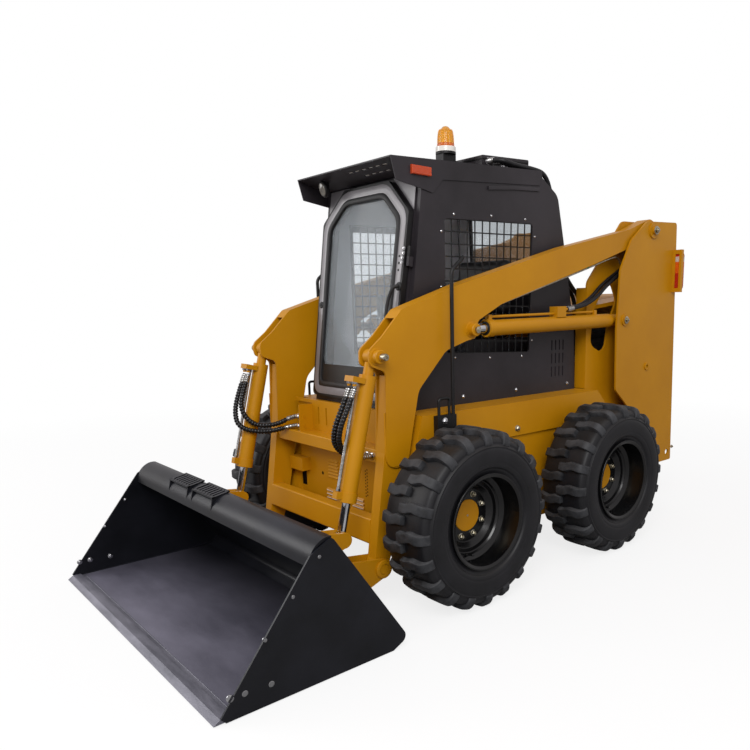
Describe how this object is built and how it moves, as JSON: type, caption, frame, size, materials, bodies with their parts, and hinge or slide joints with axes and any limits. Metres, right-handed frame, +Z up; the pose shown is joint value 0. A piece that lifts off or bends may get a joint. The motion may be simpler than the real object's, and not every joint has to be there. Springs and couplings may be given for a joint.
{
  "type": "skid steer loader",
  "caption": "Wheeled skid steer loader with an enclosed cab, lift arms, hydraulic cylinders, a quick coupler and a dirt bucket.",
  "frame": {"origin": "middle of the machine's box, on the ground between the tyres", "axes": "+Y to the rear (the bucket faces -Y), +X to the machine's left, +Z up"},
  "size_m": [1.764, 3.438, 2.29],
  "materials": {
    "amber": "amber lens",
    "black_paint": "gloss black paint",
    "bucket_paint": "satin black-blue paint",
    "cab_paint": "satin dark grey paint",
    "chrome": "hard chrome",
    "engine_iron": "painted iron block",
    "glass": "clear safety glass",
    "hose_rubber": "satin black hose cover",
    "lamp_red": "red and orange lamp lenses",
    "seat_vinyl": "black vinyl",
    "steel": "worn steel edge",
    "tyre_rubber": "matt black rubber",
    "yellow_paint": "satin yellow-ochre machine paint"
  },
  "bodies": {
    "chassis": {"axle_housings": "yellow_paint", "chaincases": "yellow_paint", "side_beams": "yellow_paint", "chassis_tub": "yellow_paint", "front_panel": "yellow_paint", "towers": "yellow_paint", "engine_block": "engine_iron", "engine_hood": "yellow_paint", "rear_bumper": "yellow_paint", "cab_sides": "cab_paint", "cab_roof": "cab_paint", "visor": "cab_paint", "cab_rear_wall": "cab_paint", "cab_front_frame": "cab_paint", "cab_floor": "cab_paint", "seat_squab": "seat_vinyl", "seat_back": "seat_vinyl", "side_grilles": "cab_paint", "ac_unit": "cab_paint", "beacon_base": "black_paint", "beacon_lens": "amber", "lamps": "lamp_red", "mirror_poles": "black_paint", "controls": "cab_paint", "rear_glass": "glass", "roof_hoses": "hose_rubber"},
    "front_door": {"door_frame": "cab_paint", "door_glass": "glass"},
    "engine_door": {"engine_door": "yellow_paint"},
    "arms": {"arm_booms": "yellow_paint", "arm_legs": "yellow_paint", "lower_crossmember": "yellow_paint", "shelf": "yellow_paint", "tilt_hoses": "hose_rubber"},
    "bucket": {"coupler": "yellow_paint", "bucket_shell": "bucket_paint", "cutting_edge": "steel", "bucket_steps": "bucket_paint"},
    "wheel_fl": {"tyre_fl": "tyre_rubber", "rim_fl": "black_paint", "hub_fl": "yellow_paint"},
    "wheel_fr": {"tyre_fr": "tyre_rubber", "rim_fr": "black_paint", "hub_fr": "yellow_paint"},
    "wheel_rl": {"tyre_rl": "tyre_rubber", "rim_rl": "black_paint", "hub_rl": "yellow_paint"},
    "wheel_rr": {"tyre_rr": "tyre_rubber", "rim_rr": "black_paint", "hub_rr": "yellow_paint"},
    "lift_barrel_l": {"lift_barrel_l": "yellow_paint", "lift_hoses_l": "hose_rubber"},
    "lift_barrel_r": {"lift_barrel_r": "yellow_paint", "lift_hoses_r": "hose_rubber"},
    "lift_rod_l": {"lift_rod_l": "chrome"},
    "lift_rod_r": {"lift_rod_r": "chrome"},
    "tilt_barrel_l": {"tilt_barrel_l": "yellow_paint"},
    "tilt_barrel_r": {"tilt_barrel_r": "yellow_paint"},
    "tilt_rod_l": {"tilt_rod_l": "chrome"},
    "tilt_rod_r": {"tilt_rod_r": "chrome"}
  },
  "joints": [
    {"name": "arm_lift", "type": "hinge", "parent": "chassis", "child": "arms", "pos_m": [0, 1.35, 1.807], "axis": [-1, 0, 0], "range_deg": [0, 65]},
    {"name": "bucket_tilt", "type": "hinge", "parent": "arms", "child": "bucket", "pos_m": [0, -0.766, 0.193], "axis": [1, 0, 0], "range_deg": [-25, 85]},
    {"name": "wheel_fl_spin", "type": "hinge", "parent": "chassis", "child": "wheel_fl", "pos_m": [0.731, -0.421, 0.411], "axis": [1, 0, 0], "continuous": true},
    {"name": "wheel_fr_spin", "type": "hinge", "parent": "chassis", "child": "wheel_fr", "pos_m": [-0.731, -0.421, 0.411], "axis": [1, 0, 0], "continuous": true},
    {"name": "wheel_rl_spin", "type": "hinge", "parent": "chassis", "child": "wheel_rl", "pos_m": [0.731, 0.64, 0.411], "axis": [1, 0, 0], "continuous": true},
    {"name": "wheel_rr_spin", "type": "hinge", "parent": "chassis", "child": "wheel_rr", "pos_m": [-0.731, 0.64, 0.411], "axis": [1, 0, 0], "continuous": true},
    {"name": "front_door_swing", "type": "hinge", "parent": "chassis", "child": "front_door", "pos_m": [0.372, -0.47175, 1.38891], "axis": [0, -0.1422, -0.9898], "range_deg": [-90, 0]},
    {"name": "engine_door_swing", "type": "hinge", "parent": "chassis", "child": "engine_door", "pos_m": [0.436, 1.67314, 1], "axis": [0, -0.0385, 0.9993], "range_deg": [-95, 0]},
    {"name": "lift_barrel_l_turn", "type": "hinge", "parent": "chassis", "child": "lift_barrel_l", "pos_m": [0.486, 1.073, 1.27], "axis": [-1, 0, 0], "range_deg": [0, 63.61]},
    {"name": "lift_rod_l_slide", "type": "slide", "parent": "lift_barrel_l", "child": "lift_rod_l", "axis": [0, -0.9998, -0.019], "range_m": [0, 0.6487]},
    {"name": "tilt_barrel_l_turn", "type": "hinge", "parent": "arms", "child": "tilt_barrel_l", "pos_m": [0.486, -0.757, 1.147], "axis": [1, 0, 0], "range_deg": [-1.21, 4.08]},
    {"name": "tilt_rod_l_slide", "type": "slide", "parent": "tilt_barrel_l", "child": "tilt_rod_l", "axis": [0, -0.244, -0.9698], "range_m": [-0.1003, 0.3398]},
    {"name": "lift_barrel_r_turn", "type": "hinge", "parent": "chassis", "child": "lift_barrel_r", "pos_m": [-0.486, 1.073, 1.27], "axis": [-1, 0, 0], "range_deg": [0, 63.61]},
    {"name": "lift_rod_r_slide", "type": "slide", "parent": "lift_barrel_r", "child": "lift_rod_r", "axis": [0, -0.9998, -0.019], "range_m": [0, 0.6487]},
    {"name": "tilt_barrel_r_turn", "type": "hinge", "parent": "arms", "child": "tilt_barrel_r", "pos_m": [-0.486, -0.757, 1.147], "axis": [1, 0, 0], "range_deg": [-1.21, 4.08]},
    {"name": "tilt_rod_r_slide", "type": "slide", "parent": "tilt_barrel_r", "child": "tilt_rod_r", "axis": [0, -0.244, -0.9698], "range_m": [-0.1003, 0.3398]}
  ],
  "couplings": [
    {"joint": "lift_barrel_l_turn", "follows": "arm_lift", "ratio": 0.97847},
    {"joint": "lift_rod_l_slide", "follows": "arm_lift", "m_per_rad": 0.57137},
    {"joint": "tilt_barrel_l_turn", "follows": "bucket_tilt", "ratio": 0.04777},
    {"joint": "tilt_rod_l_slide", "follows": "bucket_tilt", "m_per_rad": 0.22873},
    {"joint": "lift_barrel_r_turn", "follows": "arm_lift", "ratio": 0.97847},
    {"joint": "lift_rod_r_slide", "follows": "arm_lift", "m_per_rad": 0.57137},
    {"joint": "tilt_barrel_r_turn", "follows": "bucket_tilt", "ratio": 0.04777},
    {"joint": "tilt_rod_r_slide", "follows": "bucket_tilt", "m_per_rad": 0.22873}
  ]
}
